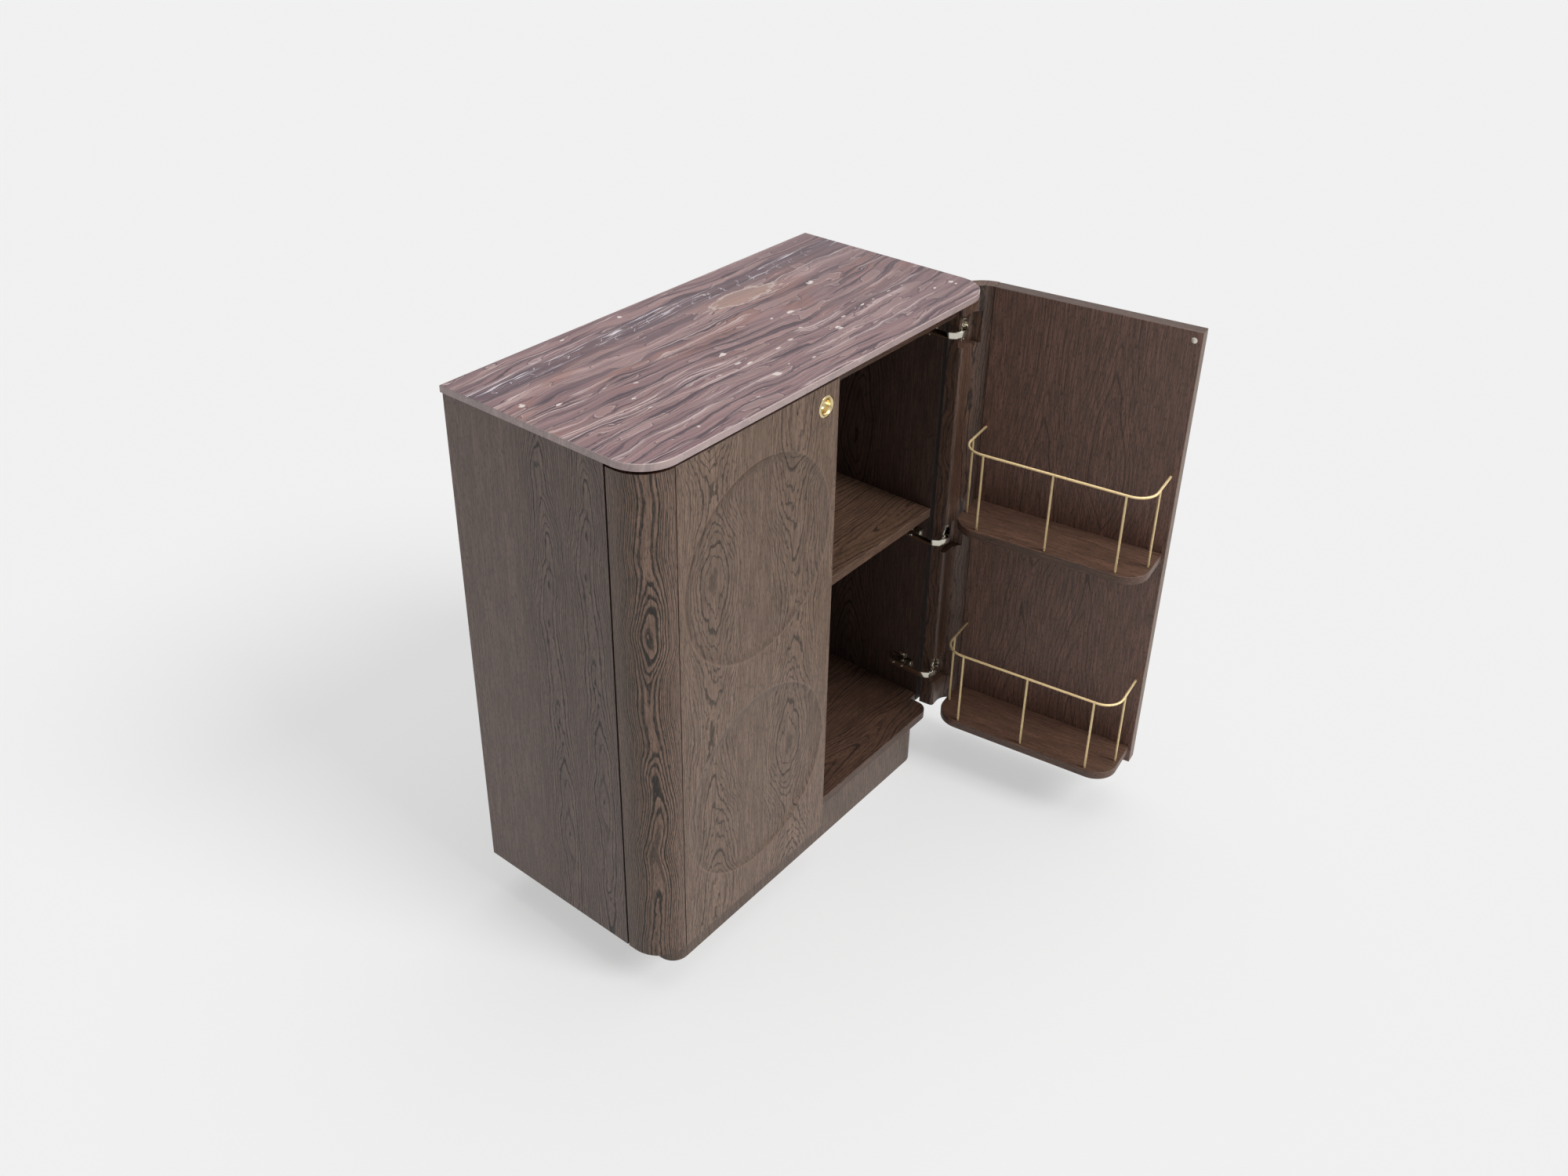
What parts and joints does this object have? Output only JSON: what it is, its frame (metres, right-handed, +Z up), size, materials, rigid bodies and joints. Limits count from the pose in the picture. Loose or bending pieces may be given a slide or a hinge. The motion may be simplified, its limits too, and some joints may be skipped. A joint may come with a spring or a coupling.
{
  "type": "bar cabinet",
  "caption": "Smoked oak bar cabinet with a thin marble top, bow-cornered doors with dished circles, concealed hinges, and bottle shelves with brass galleries in the open door.",
  "frame": {"origin": "on the floor, under the middle of the marble's outline", "axes": "+X to the cabinet's right as seen from the front, +Y to the back, +Z up"},
  "size_m": [1.0732, 0.8325, 1.1],
  "materials": {
    "oak": "smoked oak, matt oil",
    "inner_oak": "smoked oak, matt oil, in shade",
    "marble": "honed purple marble, opaque",
    "brass": "satin",
    "nickel": "bright nickel plate",
    "steel": "plain"
  },
  "bodies": {
    "carcass": {"plinth": "oak", "bottom_panel": "oak", "top_panel": "oak", "left_side_panel": "oak", "right_side_panel": "oak", "back_panel": "inner_oak", "middle_shelf": "oak", "left_front_shelf_pin": "steel", "left_back_shelf_pin": "steel", "right_front_shelf_pin": "steel", "right_back_shelf_pin": "steel", "marble_top": "marble", "left_catch_magnet": "steel", "right_catch_magnet": "steel", "left_upper_hinge_arm": "nickel", "left_middle_hinge_arm": "nickel", "left_lower_hinge_arm": "nickel", "right_upper_hinge_arm": "nickel", "right_middle_hinge_arm": "nickel", "right_lower_hinge_arm": "nickel"},
    "left_door": {"left_door_panel": "oak", "left_door_stile": "oak", "left_finger_pull": "brass", "left_catch_disc": "steel", "left_upper_hinge_cup": "nickel", "left_middle_hinge_cup": "nickel", "left_lower_hinge_cup": "nickel"},
    "right_door": {"right_door_panel": "oak", "right_door_stile": "oak", "right_finger_pull": "brass", "right_catch_disc": "steel", "right_upper_hinge_cup": "nickel", "right_middle_hinge_cup": "nickel", "right_lower_hinge_cup": "nickel", "upper_door_shelf": "oak", "lower_door_shelf": "oak", "upper_gallery_rail": "brass", "lower_gallery_rail": "brass"}
  },
  "joints": [
    {"name": "left_door_hinge", "type": "hinge", "parent": "carcass", "child": "left_door", "pos_m": [-0.466, -0.14875, 0.586], "axis": [0, 0, 1], "range_deg": [-110, 0]},
    {"name": "right_door_hinge", "type": "hinge", "parent": "carcass", "child": "right_door", "pos_m": [0.466, -0.14875, 0.586], "axis": [0, 0, 1], "range_deg": [-97.5, 12.5]}
  ]
}
